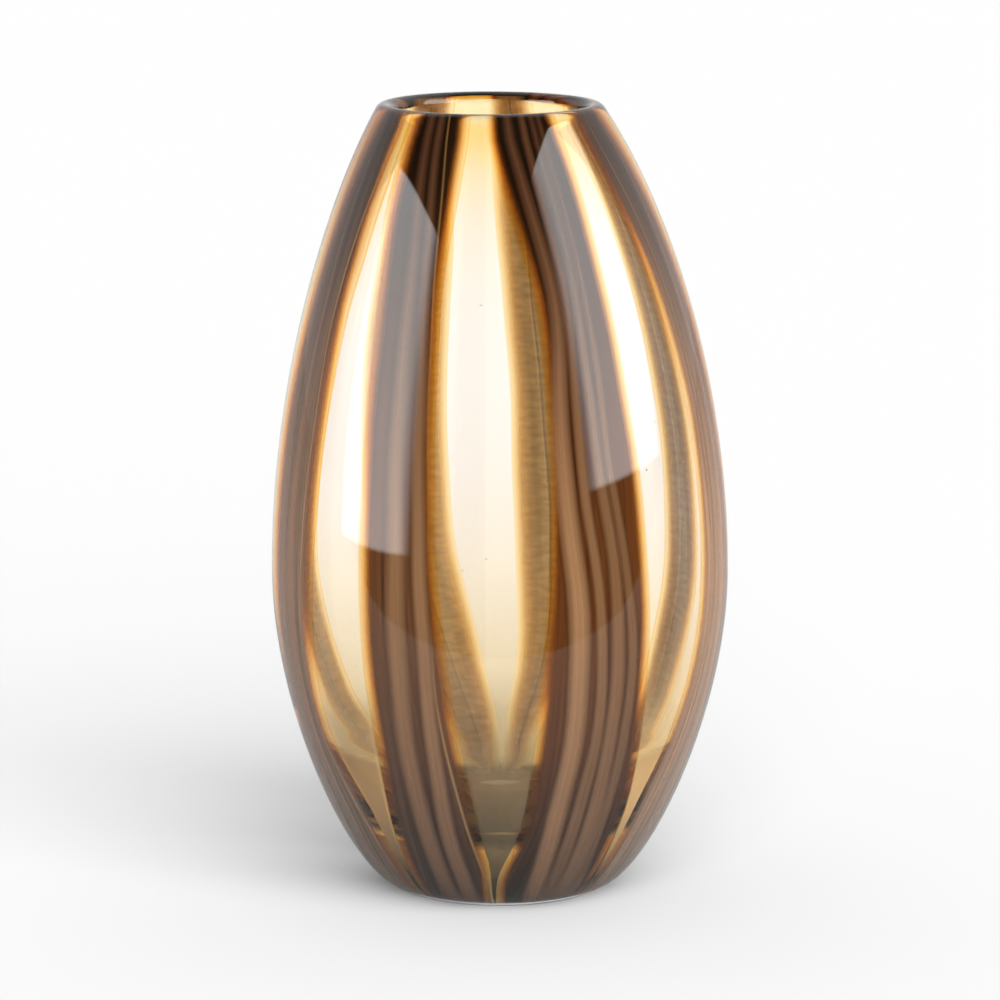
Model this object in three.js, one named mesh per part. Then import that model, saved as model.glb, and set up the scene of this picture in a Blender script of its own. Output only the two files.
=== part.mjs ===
// Hand-blown cased-glass vase with vertical cane bands.
//
// The wall is three layers of glass: a clear inner bubble, a ring of coloured canes laid side by side
// on it, and a clear casing gathered over the canes. Eight dark bands, each made of umber canes with
// taupe and amber threads between them, stand between eight wide amber canes. The canes draw together
// at the foot and run on under the thick floor.
//
// Units are millimetres, +Z is up, and the origin is the centre of the foot. Angles are in degrees,
// anticlockwise seen from above, from the front of the vase (-Y).

import * as THREE from 'three';

// ---------------------------------------------------------------- driving dimensions

const FOOT_RADIUS = 41.5;            // flat ground foot
const BELLY_RADIUS = 87;
const BELLY_HEIGHT = 121.3;
const LIP_OUTER_RADIUS = 43;       // where the outer wall meets the round of the lip
const LIP_OUTER_HEIGHT = 298.2;
const LIP_LEAN = 31;               // degrees that the wall leans inward at the lip
const FOOT_CURVE_REACH = 13.75;    // how far the foot runs out flat before the wall turns up
const LOWER_BELLY_REACH = 56.6;    // upright stretch of the wall under the belly
const UPPER_BELLY_REACH = 67.4;    // upright stretch of the wall over the belly
const SHOULDER_REACH = 48;         // straight stretch of the wall under the lip

const FLOOR_HEIGHT = 28;           // thickness of the solid glass floor
const FLOOR_BOWL_RADIUS = 44;      // flat part of the bowl inside
const BOWL_TOP_HEIGHT = 64;        // where the bowl inside becomes an even wall

const GAP = 0.3;                   // clearance between neighbouring pieces
const STRIP_ANGLE = 8;             // widest flat strip of a cane, in degrees
const CASING_THICKNESS = [1.3, 2.2];   // at the belly, at the lip and foot
const CANE_THICKNESS = [1.2, 1.9];
const WALL_THICKNESS = [4.8, 7.6];

const LIP_OFFSET = 3.6;            // how far the top of the wall has drifted off the axis
const LIP_OFFSET_POWER = 5;        // keeps the drift in the top third

const SEGMENTS = 48;               // facets round each shell
const WALL_STEPS = 6;              // stations from foot to belly, and again from belly to lip
const UNDERSIDE_RADII = [20, 30];  // stations of the canes under the floor
const CANE_TOP_RISE = 2.6;         // the canes run this far into the round of the lip

// ---------------------------------------------------------------- band layout

// Heights at which the edges of the bands are laid out, from the lip down to the foot.
const LEVELS = [292, 240, 180, 120, 70, 35, 10];

// Each band has its left and right edge, in degrees, at each level. Threads lie at a share of the
// band's width, and sway moves them all together, as a share of that width, at each level.
// A thread's width is in millimetres at the lip, at the belly and at the foot.
const BANDS = [
  {
    name: 'band_1',
    left: [-84, -77, -76, -76, -76, -78, -86],
    right: [-46, -54.5, -56, -57, -57, -48, -41],
    sway: [0, 0, 0, 0, 0, 0, 0],
    threads: [
      { glass: 'taupe', at: 0.24, width: [1.6, 4.5, 4.5] },
      { glass: 'taupe', at: 0.55, width: [1.4, 3.5, 4] },
      { glass: 'amber', at: 0.87, width: [1.3, 1.2, 1.2] },
    ],
  },
  {
    name: 'band_2',
    left: [-42, -36.5, -35.5, -34.5, -34, -35, -38],
    right: [-15, -19.5, -19, -16.5, -13, -9, -4.5],
    sway: [0.04, 0.02, 0, 0.02, -0.01, -0.03, 0],
    threads: [
      { glass: 'taupe', at: 0.44, width: [1.4, 5, 4.6] },
      { glass: 'taupe', at: 0.72, width: [1.2, 2.4, 4.6] },
      { glass: 'amber', at: 0.88, width: [1.2, 1.4, 1.4] },
    ],
  },
  {
    name: 'band_3',
    left: [1.5, 13, 15, 13, 11.5, 8.5, -0.5],
    right: [31.5, 34, 36, 38, 39, 41, 41],
    sway: [0.04, -0.07, -0.12, 0, 0.03, 0, 0.03],
    threads: [
      { glass: 'taupe', at: 0.29, width: [1.4, 4.2, 4.2] },
      { glass: 'taupe', at: 0.49, width: [1.3, 1.8, 2.2] },
      { glass: 'taupe', at: 0.64, width: [1.2, 4, 4.2] },
      { glass: 'taupe', at: 0.83, width: [1.2, 1.5, 2] },
    ],
  },
  {
    name: 'band_4',
    left: [51, 59.5, 63.5, 62.5, 57, 49, 43.5],
    right: [77, 80, 82, 83, 82, 80, 83],
    sway: [0, 0, 0, 0, 0, 0, 0],
    threads: [
      { glass: 'taupe', at: 0.2, width: [1.3, 2, 2.4] },
      { glass: 'taupe', at: 0.6, width: [1.4, 4, 4.4] },
    ],
  },
  {
    name: 'band_5',
    left: [111, 112, 110, 110.5, 112, 112, 110],
    right: [130, 127.5, 125.5, 126, 127.5, 128, 128],
    sway: [0, 0.05, 0, -0.05, 0, 0, 0],
    threads: [{ glass: 'taupe', at: 0.5, width: [1.3, 2.4, 3.6] }],
  },
  {
    name: 'band_6',
    left: [160, 162, 160, 158, 159, 168, 172],
    right: [179, 178, 175.5, 174.5, 173.5, 176.5, 178.2],
    sway: [0, 0, 0.04, 0, -0.04, 0, 0],
    threads: [{ glass: 'amber', at: 0.5, width: [1.8, 3.4, 2.4] }],
  },
  {
    name: 'band_7',
    left: [204, 198, 197, 194.5, 187, 182, 181.4],
    right: [232, 226, 223, 218, 208, 197, 189],
    sway: [0, 0, -0.04, -0.06, -0.08, -0.02, 0],
    threads: [
      { glass: 'amber', at: 0.42, width: [1.3, 2, 1] },
      { glass: 'taupe', at: 0.74, width: [1.3, 3, 1.4] },
    ],
  },
  {
    name: 'band_8',
    left: [250, 244, 241.5, 243, 237.5, 229, 222],
    right: [268, 261, 256, 257, 252.5, 243, 236],
    sway: [0, 0, 0, 0, 0, 0, 0],
    threads: [{ glass: 'taupe', at: 0.5, width: [1.3, 2.4, 3.6] }],
  },
];

// ---------------------------------------------------------------- materials

function glass(name, color, roughness) {
  return new THREE.MeshStandardMaterial({ name, color, roughness, metalness: 0 });
}

const MATERIALS = {
  clear: glass('clear_glass', 0xf4ead4, 0.05),
  bubble: glass('bubble_glass', 0xf6e7c4, 0.05),
  amber: glass('amber_glass', 0xe8b65c, 0.08),
  umber: glass('umber_glass', 0x3a2114, 0.08),
  taupe: glass('taupe_glass', 0x8c7264, 0.12),
};

// ---------------------------------------------------------------- outline of the wall

const lipLean = THREE.MathUtils.degToRad(LIP_LEAN);

const lowerWall = new THREE.CubicBezierCurve(
  new THREE.Vector2(FOOT_RADIUS, 0),
  new THREE.Vector2(FOOT_RADIUS + FOOT_CURVE_REACH, 0),
  new THREE.Vector2(BELLY_RADIUS, BELLY_HEIGHT - LOWER_BELLY_REACH),
  new THREE.Vector2(BELLY_RADIUS, BELLY_HEIGHT),
);

const upperWall = new THREE.CubicBezierCurve(
  new THREE.Vector2(BELLY_RADIUS, BELLY_HEIGHT),
  new THREE.Vector2(BELLY_RADIUS, BELLY_HEIGHT + UPPER_BELLY_REACH),
  new THREE.Vector2(
    LIP_OUTER_RADIUS + SHOULDER_REACH * Math.sin(lipLean),
    LIP_OUTER_HEIGHT - SHOULDER_REACH * Math.cos(lipLean),
  ),
  new THREE.Vector2(LIP_OUTER_RADIUS, LIP_OUTER_HEIGHT),
);

// A station is a point on the outer surface with its inward normal; rise is 0 on the underside.
function makeStation(point, inward) {
  return { point, inward, rise: 0 };
}

function stationOn(curve, t) {
  const tangent = curve.getTangent(t);
  return makeStation(curve.getPoint(t), new THREE.Vector2(-tangent.y, tangent.x));
}

function makeStations() {
  const stations = [];
  for (const radius of UNDERSIDE_RADII) {
    stations.push(makeStation(new THREE.Vector2(radius, 0), new THREE.Vector2(0, 1)));
  }
  for (let i = 0; i <= WALL_STEPS; i += 1) {
    stations.push(stationOn(lowerWall, i / WALL_STEPS));
  }
  for (let i = 1; i <= WALL_STEPS; i += 1) {
    stations.push(stationOn(upperWall, i / WALL_STEPS));
  }
  return stations;
}

// 0 at the belly, 1 at the lip and at the foot: the glass is blown thinnest at the belly.
function thickening(height) {
  const reach = height > BELLY_HEIGHT ? LIP_OUTER_HEIGHT - BELLY_HEIGHT : BELLY_HEIGHT;
  return ((height - BELLY_HEIGHT) / reach) ** 2;
}

function thicknessAt(range, height) {
  return THREE.MathUtils.lerp(range[0], range[1], thickening(height));
}

function offsetPoint(station, depth) {
  return station.point.clone().addScaledVector(station.inward, depth);
}

function caneTopDepth(station) {
  return thicknessAt(CASING_THICKNESS, station.point.y) + GAP;
}

function caneBottomDepth(station) {
  return caneTopDepth(station) + thicknessAt(CANE_THICKNESS, station.point.y);
}

function bubbleDepth(station) {
  return caneBottomDepth(station) + GAP;
}

const STATIONS = makeStations();
const WALL_STATIONS = STATIONS.slice(UNDERSIDE_RADII.length);
const LIP_STATION = STATIONS[STATIONS.length - 1];
const LIP_ROUND = WALL_THICKNESS[1] / 2;
const LIP_CENTRE = offsetPoint(LIP_STATION, LIP_ROUND);

// A point on the round of the lip, from 0 degrees on the outer wall to 180 degrees on the inner wall.
function lipPoint(angle) {
  const outward = LIP_STATION.inward.clone().negate();
  const upward = new THREE.Vector2(-outward.y, outward.x);
  const turn = THREE.MathUtils.degToRad(angle);
  return LIP_CENTRE.clone()
    .addScaledVector(outward, LIP_ROUND * Math.cos(turn))
    .addScaledVector(upward, LIP_ROUND * Math.sin(turn));
}

function lipAngleAtDepth(depth) {
  return THREE.MathUtils.radToDeg(Math.acos((LIP_ROUND - depth) / LIP_ROUND));
}

// ---------------------------------------------------------------- shells

// The whole wall drifts towards -X as it nears the lip.
function drift(height) {
  return -LIP_OFFSET * (height / LIP_OUTER_HEIGHT) ** LIP_OFFSET_POWER;
}

function leanOver(geometry) {
  const position = geometry.attributes.position;
  for (let i = 0; i < position.count; i += 1) {
    position.setX(i, position.getX(i) + drift(position.getZ(i)));
  }
  geometry.computeVertexNormals();
  return geometry;
}

function revolve(profile) {
  const geometry = new THREE.LatheGeometry(profile, SEGMENTS);
  geometry.rotateX(Math.PI / 2);
  return leanOver(geometry);
}

function lipArc(fromAngle, toAngle, steps) {
  const points = [];
  for (let i = 1; i <= steps; i += 1) {
    points.push(lipPoint(THREE.MathUtils.lerp(fromAngle, toAngle, i / steps)));
  }
  return points;
}

// The clear casing: outer wall, outer part of the lip, and down the inside to the underside.
function makeCasing() {
  const lipDepth = caneTopDepth(LIP_STATION) - GAP;
  const outside = WALL_STATIONS.map((station) => station.point.clone());
  const inside = STATIONS.map((station) => offsetPoint(station, caneTopDepth(station) - GAP)).reverse();
  const underside = inside[inside.length - 1];
  return revolve([
    new THREE.Vector2(0, 0),
    ...outside,
    ...lipArc(0, lipAngleAtDepth(lipDepth), 4),
    ...inside,
    new THREE.Vector2(0, underside.y),
  ]);
}

// The inner bubble: its outside carries the canes, and its inside is the cavity with its bowl floor.
function makeBubble() {
  const lipDepth = bubbleDepth(LIP_STATION);
  const outside = STATIONS.map((station) => offsetPoint(station, bubbleDepth(station)));
  const wall = WALL_STATIONS
    .filter((station) => station.point.y > BOWL_TOP_HEIGHT && station !== LIP_STATION)
    .map((station) => offsetPoint(station, thicknessAt(WALL_THICKNESS, station.point.y)))
    .reverse();
  const wallFoot = wall[wall.length - 1];
  const bowl = new THREE.CubicBezierCurve(
    wallFoot,
    new THREE.Vector2(wallFoot.x - 4, (wallFoot.y + FLOOR_HEIGHT) / 2),
    new THREE.Vector2(FLOOR_BOWL_RADIUS, FLOOR_HEIGHT),
    new THREE.Vector2(0, FLOOR_HEIGHT),
  );
  return revolve([
    new THREE.Vector2(0, outside[0].y),
    ...outside,
    ...lipArc(lipAngleAtDepth(lipDepth), 180, 3),
    ...wall,
    ...bowl.getPoints(5).slice(1),
  ]);
}

// ---------------------------------------------------------------- canes

// How much a value changes per millimetre of height at a level, from the levels on either side.
function slopeAt(values, level) {
  const above = Math.max(level - 1, 0);
  const below = Math.min(level + 1, LEVELS.length - 1);
  return (values[above] - values[below]) / (LEVELS[above] - LEVELS[below]);
}

// A smooth value between the levels, from the numbers given at each level.
function atHeight(values, height) {
  const last = LEVELS.length - 1;
  if (height >= LEVELS[0]) {
    return values[0];
  }
  if (height <= LEVELS[last]) {
    return values[last];
  }
  const lower = LEVELS.findIndex((level) => level < height);
  const upper = lower - 1;
  const span = LEVELS[upper] - LEVELS[lower];
  const share = (LEVELS[upper] - height) / span;
  const start = -slopeAt(values, upper) * span * share * (1 - share) ** 2;
  const end = -slopeAt(values, lower) * span * share ** 2 * (1 - share);
  return THREE.MathUtils.lerp(values[upper], values[lower], share ** 2 * (3 - 2 * share)) + start - end;
}

function bandEdge(index, side, station) {
  return atHeight(BANDS[index][side], station.point.y);
}

function threadWidth(thread, height) {
  const [lip, belly, foot] = thread.width;
  return height > BELLY_HEIGHT
    ? THREE.MathUtils.lerp(belly, lip, thickening(height) ** 0.5)
    : THREE.MathUtils.lerp(belly, foot, thickening(height) ** 0.5);
}

// Left and right edge of one thread at a station, in degrees.
function threadEdges(index, thread, station) {
  const left = bandEdge(index, 'left', station);
  const right = bandEdge(index, 'right', station);
  const sway = atHeight(BANDS[index].sway, station.point.y);
  const centre = THREE.MathUtils.lerp(left, right, thread.at + sway);
  const under = Math.min(1, station.point.x / FOOT_RADIUS);
  const half = THREE.MathUtils.radToDeg(under * threadWidth(thread, station.point.y) / 2 / station.point.x);
  return [centre - half, centre + half];
}

// One cane: a box bent onto the wall between two edges, which are functions of the station.
function makeCane(stations, leftEdge, rightEdge) {
  const rows = stations.length;
  const widest = Math.max(...stations.map((station) => rightEdge(station) - leftEdge(station)));
  const across = Math.ceil(widest / STRIP_ANGLE);
  const geometry = new THREE.BoxGeometry(1, 1, 1, across, 1, rows - 1);
  const position = geometry.attributes.position;
  for (let i = 0; i < position.count; i += 1) {
    const station = stations[Math.round((position.getZ(i) + 0.5) * (rows - 1))];
    const depth = position.getY(i) < 0 ? caneTopDepth(station) : caneBottomDepth(station);
    const point = offsetPoint(station, depth);
    if (station === LIP_STATION) {
      point.addScaledVector(new THREE.Vector2(station.inward.y, -station.inward.x), CANE_TOP_RISE);
    }
    const clearance = THREE.MathUtils.radToDeg(GAP / 2 / point.x);
    const share = position.getX(i) + 0.5;
    const angle = THREE.MathUtils.degToRad(
      THREE.MathUtils.lerp(leftEdge(station) + clearance, rightEdge(station) - clearance, share),
    );
    position.setXYZ(i, point.x * Math.sin(angle), -point.x * Math.cos(angle), point.y);
  }
  return leanOver(geometry);
}

function addPiece(group, name, geometry, material) {
  const mesh = new THREE.Mesh(geometry, material);
  mesh.name = name;
  group.add(mesh);
}

// The canes of one dark band: an umber cane on each side of each thread.
function addBand(group, index) {
  const band = BANDS[index];
  let leftEdge = (station) => bandEdge(index, 'left', station);
  band.threads.forEach((thread, i) => {
    const threadLeft = (station) => threadEdges(index, thread, station)[0];
    const threadRight = (station) => threadEdges(index, thread, station)[1];
    const umber = makeCane(STATIONS, leftEdge, threadLeft);
    addPiece(group, `${band.name}_umber_cane_${i + 1}`, umber, MATERIALS.umber);
    const strand = makeCane(STATIONS, threadLeft, threadRight);
    addPiece(group, `${band.name}_${thread.glass}_thread_${i + 1}`, strand, MATERIALS[thread.glass]);
    leftEdge = threadRight;
  });
  const last = makeCane(STATIONS, leftEdge, (station) => bandEdge(index, 'right', station));
  addPiece(group, `${band.name}_umber_cane_${band.threads.length + 1}`, last, MATERIALS.umber);
}

// The wide amber cane between one band and the next.
function addAmberCane(group, index) {
  const next = (index + 1) % BANDS.length;
  const wrap = next === 0 ? 360 : 0;
  const left = (station) => bandEdge(index, 'right', station);
  const right = (station) => bandEdge(next, 'left', station) + wrap;
  addPiece(group, `amber_cane_${index + 1}`, makeCane(STATIONS, left, right), MATERIALS.amber);
}

const vase = new THREE.Group();
addPiece(vase, 'inner_bubble', makeBubble(), MATERIALS.bubble);
addPiece(vase, 'clear_casing', makeCasing(), MATERIALS.clear);
for (let index = 0; index < BANDS.length; index += 1) {
  addBand(vase, index);
  addAmberCane(vase, index);
}

export default vase;
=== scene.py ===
"""Looks for the hand-blown cased-glass vase: a refractive wall with coloured canes inside it.

Units are metres. Angles are in degrees, anticlockwise seen from above, from the front of the vase (-Y).
"""
import math
import random

import bpy
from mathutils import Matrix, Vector


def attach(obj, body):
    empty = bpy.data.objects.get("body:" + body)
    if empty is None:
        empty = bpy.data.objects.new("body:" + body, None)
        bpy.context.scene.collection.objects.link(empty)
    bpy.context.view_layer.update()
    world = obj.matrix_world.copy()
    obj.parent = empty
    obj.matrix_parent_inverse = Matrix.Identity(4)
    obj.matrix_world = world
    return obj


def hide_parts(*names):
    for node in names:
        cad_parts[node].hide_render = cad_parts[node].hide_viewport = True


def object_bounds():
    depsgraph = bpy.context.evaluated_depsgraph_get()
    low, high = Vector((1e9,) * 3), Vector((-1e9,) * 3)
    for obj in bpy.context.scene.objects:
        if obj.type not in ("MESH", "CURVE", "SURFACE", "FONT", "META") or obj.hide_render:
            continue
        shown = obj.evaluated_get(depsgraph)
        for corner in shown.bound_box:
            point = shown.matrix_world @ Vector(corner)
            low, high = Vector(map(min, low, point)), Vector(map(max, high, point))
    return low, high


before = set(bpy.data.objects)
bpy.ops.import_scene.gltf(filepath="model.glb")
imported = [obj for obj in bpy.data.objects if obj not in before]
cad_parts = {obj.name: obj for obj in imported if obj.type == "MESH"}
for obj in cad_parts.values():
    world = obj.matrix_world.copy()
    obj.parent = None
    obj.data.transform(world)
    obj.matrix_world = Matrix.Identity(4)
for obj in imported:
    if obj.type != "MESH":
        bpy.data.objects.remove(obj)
CAD_LOW, CAD_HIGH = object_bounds()

MM = 0.001

# ---------------------------------------------------------------- sizes

# The outside, the lip and the bowl follow the CAD model, and the canes lie as deep as its canes, to 0.1 mm.
HEIGHT = CAD_HIGH[2] - CAD_LOW[2]
BELLY_RADIUS = (CAD_HIGH[0] - CAD_LOW[0]) / 2
BELLY_HEIGHT = 121.3 * MM
FOOT_RADIUS = 41.5 * MM
LIP_OUTER_RADIUS = 43 * MM
LIP_OUTER_HEIGHT = HEIGHT - 1.8 * MM
LIP_LEAN = math.radians(31)
FOOT_CURVE_REACH = 13.75 * MM
LOWER_BELLY_REACH = 56.6 * MM
UPPER_BELLY_REACH = 67.4 * MM
SHOULDER_REACH = 48 * MM
FOOT_BEVEL = 1.1 * MM              # the ground edge of the foot, which the CAD model doesn't have
BEVEL_INSET_SHARE = 0.8            # of the bevel's height
BEVEL_MIDDLE = (0.55, 0.22)        # where it is roundest, out and up, as shares of its height
FLOOR_HEIGHT = 28 * MM
FLOOR_BOWL_RADIUS = 44 * MM
BOWL_TOP_HEIGHT = 64 * MM
BOWL_LEAN = 4 * MM                 # how far the bowl's side leans in on its way down
WALL_THICKNESS = (4.8 * MM, 7.6 * MM)      # at the belly, at the lip and foot
CANE_DEPTH = (1.5 * MM, 2.4 * MM)          # from the outer surface to the canes
CANE_THICKNESS = (1.2 * MM, 1.9 * MM)
THREAD_DEPTH_SHARES = (0.45, 0.97)         # where threads begin and end in the layer above the canes
LIP_OFFSET = 3.6 * MM
LIP_OFFSET_POWER = 5
WALL_SEGMENTS = 180
WALL_STEPS = 40
LIP_STEP = 12                              # degrees
BOWL_STEPS = 24
FOOT_STEPS = 6

SEED_COUNT = 60
SEED_SCATTER = 11                          # starts the random places of the seed bubbles
SEED_STATIONS = (22, 72)
SEED_RADIUS = (0.15 * MM, 0.42 * MM)
BASE_BUBBLE = (2, 36 * MM, 6 * MM, 0.9 * MM)     # its angle, height, depth and radius
BUBBLE_ROWS = 6
BUBBLE_COLUMNS = 10

# ---------------------------------------------------------------- bands

# Heights in millimetres at which the edges of the bands are laid out, from the lip down to the foot.
LEVELS = [292, 240, 180, 120, 70, 35, 10]
# The bands lie where the CAD model has them, to within 1 degree.
# A thread is its glass, its path, its width in millimetres and its strength, both at the lip, belly and foot.
# The path is its angle at each level, or one share of the band's width.
# "soft" is how far the left and right edges of the band shade off, in millimetres.
# "pale" is how much milkier than plain umber the band is, at the lip, belly and foot.
BANDS = [
    {
        "name": "band_1",
        "left": [-84, -77, -76, -76, -76, -78, -86],
        "right": [-46, -54, -56, -57.5, -57.5, -48, -41],
        "soft": (19, 9),
        "pale": (0.3, 1, 1),
        "threads": [
            ("taupe", 0.24, (4, 12, 11), (0.7, 0.8, 0.8)),
            ("taupe", 0.58, (3, 9, 9), (0.6, 0.8, 0.7)),
            ("amber", 0.9, (1.3, 1.2, 1.2), (0.5, 0.1, 0.2)),
        ],
    },
    {
        "name": "band_2",
        "left": [-42, -36.5, -35.5, -34.5, -34, -35, -38],
        "right": [-14.5, -19.5, -19, -16.5, -13, -9, -4.5],
        "soft": (6.5, 5.5),
        "pale": (0, 0.1, 0.15),
        "threads": [
            ("taupe", [-30.5, -28, -27.3, -26.5, -25.8, -25, -23], (6, 11, 10), (0.65, 0.55, 0.6)),
            ("taupe", [-25, -22.5, -21.2, -19.4, -18.4, -17, -14], (5, 8, 8.5), (0.6, 0.55, 0.6)),
            ("amber", [-21, -19.5, -18.5, -17, -15, -10.5, -5], (1.4, 1.8, 1.8), (0.3, 0, 0.9)),
        ],
    },
    {
        "name": "band_3",
        "left": [1.5, 13, 15, 13, 11.5, 8.5, -0.5],
        "right": [31.5, 34, 36, 38, 39.5, 41.5, 42],
        "soft": (5, 5.5),
        "pale": (0, 0, 0.05),
        "threads": [
            ("taupe", [9, 17, 16.5, 19.5, 20, 17.5, 14.5], (6, 11, 10), (0.6, 0.75, 0.85)),
            ("taupe", [15.5, 21, 21, 25.7, 26.4, 24.3, 22.5], (4.5, 6, 8), (0.5, 0.35, 0.35)),
            ("taupe", [21, 24.5, 26, 30.2, 31.2, 30, 28.5], (4.5, 8, 10), (0.4, 0.3, 0.5)),
            ("taupe", [25, 27.5, 29, 34, 35.4, 34.6, 34], (4, 6, 7), (0.35, 0.25, 0.35)),
        ],
    },
    {
        "name": "band_4",
        "left": [50, 59, 63.5, 62.5, 57, 49, 43.5],
        "right": [77, 80, 82, 83, 82, 80, 83],
        "soft": (6, 19),
        "pale": (0.3, 0.9, 0.9),
        "threads": [
            ("taupe", 0.2, (2.4, 4.5, 5), (0.6, 0.5, 0.5)),
            ("taupe", 0.6, (4, 12, 11), (0.7, 0.75, 0.7)),
        ],
    },
    {
        "name": "band_5",
        "left": [111, 112, 110, 110.5, 112, 112, 110],
        "right": [130, 127.5, 125.5, 126, 127.5, 128, 128],
        "soft": (5, 4),
        "pale": (0.1, 0.1, 0.1),
        "threads": [("taupe", 0.6, (1.6, 3.4, 4.4), (0.6, 0.6, 0.6))],
    },
    {
        "name": "band_6",
        "left": [160, 162, 160, 158, 159, 168, 172],
        "right": [179, 178, 175.5, 174.5, 173.5, 176.5, 178.2],
        "soft": (5, 4),
        "pale": (0.1, 0.1, 0.1),
        "threads": [("amber", 0.5, (1.8, 3.4, 2.4), (0.8, 0.8, 0.8))],
    },
    {
        "name": "band_7",
        "left": [204, 198, 197, 194.5, 187, 182, 181.4],
        "right": [232, 226, 223, 218, 208, 197, 189],
        "soft": (4, 4),
        "pale": (0.1, 0.1, 0.1),
        "threads": [
            ("amber", 0.42, (1.3, 2.4, 1), (0.8, 0.8, 0.8)),
            ("taupe", 0.74, (1.6, 3.4, 1.4), (0.7, 0.7, 0.7)),
        ],
    },
    {
        "name": "band_8",
        "left": [250, 244, 241.5, 243, 237.5, 229, 222],
        "right": [268, 261, 256, 257, 252.5, 243, 236],
        "soft": (4, 5),
        "pale": (0.1, 0.1, 0.1),
        "threads": [("taupe", 0.5, (1.6, 3.4, 4.4), (0.6, 0.6, 0.6))],
    },
]

BLEED = 0.55                # how much of a band's soft edge lies outside the edge listed above
BLEED_LIMIT = 0.27          # of the gap to the next band
EDGE_WANDER = 0.45          # millimetres
THREAD_WANDER = 0.5
WANDER_WAVES = ((1, 19, 2.4), (0.6, 8.3, 5.1))      # each wave's share, length and shift between seeds
SIDE_SEED = 0.4             # sets the two edges of a band apart
BAND_SEED = 3               # sets the threads of one band apart from the next band's

# ---------------------------------------------------------------- outline of the wall


def lerp(a, b, t):
    return a + (b - a) * t


def bezier(points, t):
    """(point, tangent) on a cubic Bezier of (radius, height) pairs."""
    p0, p1, p2, p3 = [Vector(p) for p in points]
    s = 1 - t
    point = p0 * s**3 + p1 * 3 * s * s * t + p2 * 3 * s * t * t + p3 * t**3
    tangent = (p1 - p0) * s * s + (p2 - p1) * 2 * s * t + (p3 - p2) * t * t
    return point, tangent.normalized()


LOWER_WALL = (
    (FOOT_RADIUS, FOOT_BEVEL),
    (FOOT_RADIUS + FOOT_CURVE_REACH, FOOT_BEVEL),
    (BELLY_RADIUS, BELLY_HEIGHT - LOWER_BELLY_REACH),
    (BELLY_RADIUS, BELLY_HEIGHT),
)
UPPER_WALL = (
    (BELLY_RADIUS, BELLY_HEIGHT),
    (BELLY_RADIUS, BELLY_HEIGHT + UPPER_BELLY_REACH),
    (
        LIP_OUTER_RADIUS + SHOULDER_REACH * math.sin(LIP_LEAN),
        LIP_OUTER_HEIGHT - SHOULDER_REACH * math.cos(LIP_LEAN),
    ),
    (LIP_OUTER_RADIUS, LIP_OUTER_HEIGHT),
)


def thickening(height):
    """0 at the belly, 1 at the lip and at the foot."""
    reach = LIP_OUTER_HEIGHT - BELLY_HEIGHT if height > BELLY_HEIGHT else BELLY_HEIGHT
    return ((height - BELLY_HEIGHT) / reach) ** 2


def thickness(span, height):
    return lerp(span[0], span[1], thickening(height))


def wall_stations(steps):
    """(point, inward normal) from the edge of the foot to the lip, on the outer surface."""
    stations = []
    for curve, first in ((LOWER_WALL, 0), (UPPER_WALL, 1)):
        for i in range(first, steps + 1):
            point, tangent = bezier(curve, i / steps)
            stations.append((point, Vector((-tangent.y, tangent.x))))
    return stations


def inset(station, depth):
    return station[0] + station[1] * depth


def drift(height):
    """How far the wall has drifted along X at this height."""
    return -LIP_OFFSET * (max(height, 0) / LIP_OUTER_HEIGHT) ** LIP_OFFSET_POWER


def place(radius, height, degrees):
    """A point on the leaning vase from its radius, height and angle."""
    angle = math.radians(degrees)
    return (radius * math.sin(angle) + drift(height), -radius * math.cos(angle), height)


STATIONS = wall_stations(WALL_STEPS)
LIP = STATIONS[-1]
LIP_ROUND = WALL_THICKNESS[1] / 2
LIP_CENTRE = inset(LIP, LIP_ROUND)


def lip_point(degrees):
    """On the round of the lip: 0 is on the outer wall, 180 on the inner wall."""
    outward = -LIP[1]
    upward = Vector((-outward.y, outward.x))
    turn = math.radians(degrees)
    return LIP_CENTRE + outward * LIP_ROUND * math.cos(turn) + upward * LIP_ROUND * math.sin(turn)


def wall_profile():
    """(radius, height) pairs up the outer surface, over the lip and down the inside."""
    outside = [station[0] for station in STATIONS]
    lip = [lip_point(degrees) for degrees in range(LIP_STEP, 180, LIP_STEP)]
    above_bowl = [station for station in reversed(STATIONS) if station[0].y > BOWL_TOP_HEIGHT]
    inside = [inset(station, thickness(WALL_THICKNESS, station[0].y)) for station in above_bowl]
    rim_of_bowl = inside[-1]
    bowl = (
        rim_of_bowl,
        (rim_of_bowl.x - BOWL_LEAN, (rim_of_bowl.y + FLOOR_HEIGHT) / 2),
        (FLOOR_BOWL_RADIUS, FLOOR_HEIGHT),
        (0, FLOOR_HEIGHT),
    )
    floor = [bezier(bowl, i / BOWL_STEPS)[0] for i in range(1, BOWL_STEPS)]
    flat = FOOT_RADIUS - FOOT_BEVEL * BEVEL_INSET_SHARE
    foot = [Vector((flat * i / FOOT_STEPS, 0)) for i in range(1, FOOT_STEPS + 1)]
    bevel = [Vector((flat + FOOT_BEVEL * BEVEL_MIDDLE[0], FOOT_BEVEL * BEVEL_MIDDLE[1]))]
    return foot + bevel + outside + lip + inside + floor


# ---------------------------------------------------------------- mesh helpers


def make_piece(name, vertices, faces, replaced):
    mesh = bpy.data.meshes.new(name)
    mesh.from_pydata(vertices, [], faces)
    mesh.validate()
    for polygon in mesh.polygons:
        polygon.use_smooth = True
    piece = bpy.data.objects.new(name, mesh)
    bpy.context.scene.collection.objects.link(piece)
    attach(piece, "root")
    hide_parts(*replaced)
    return piece


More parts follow.
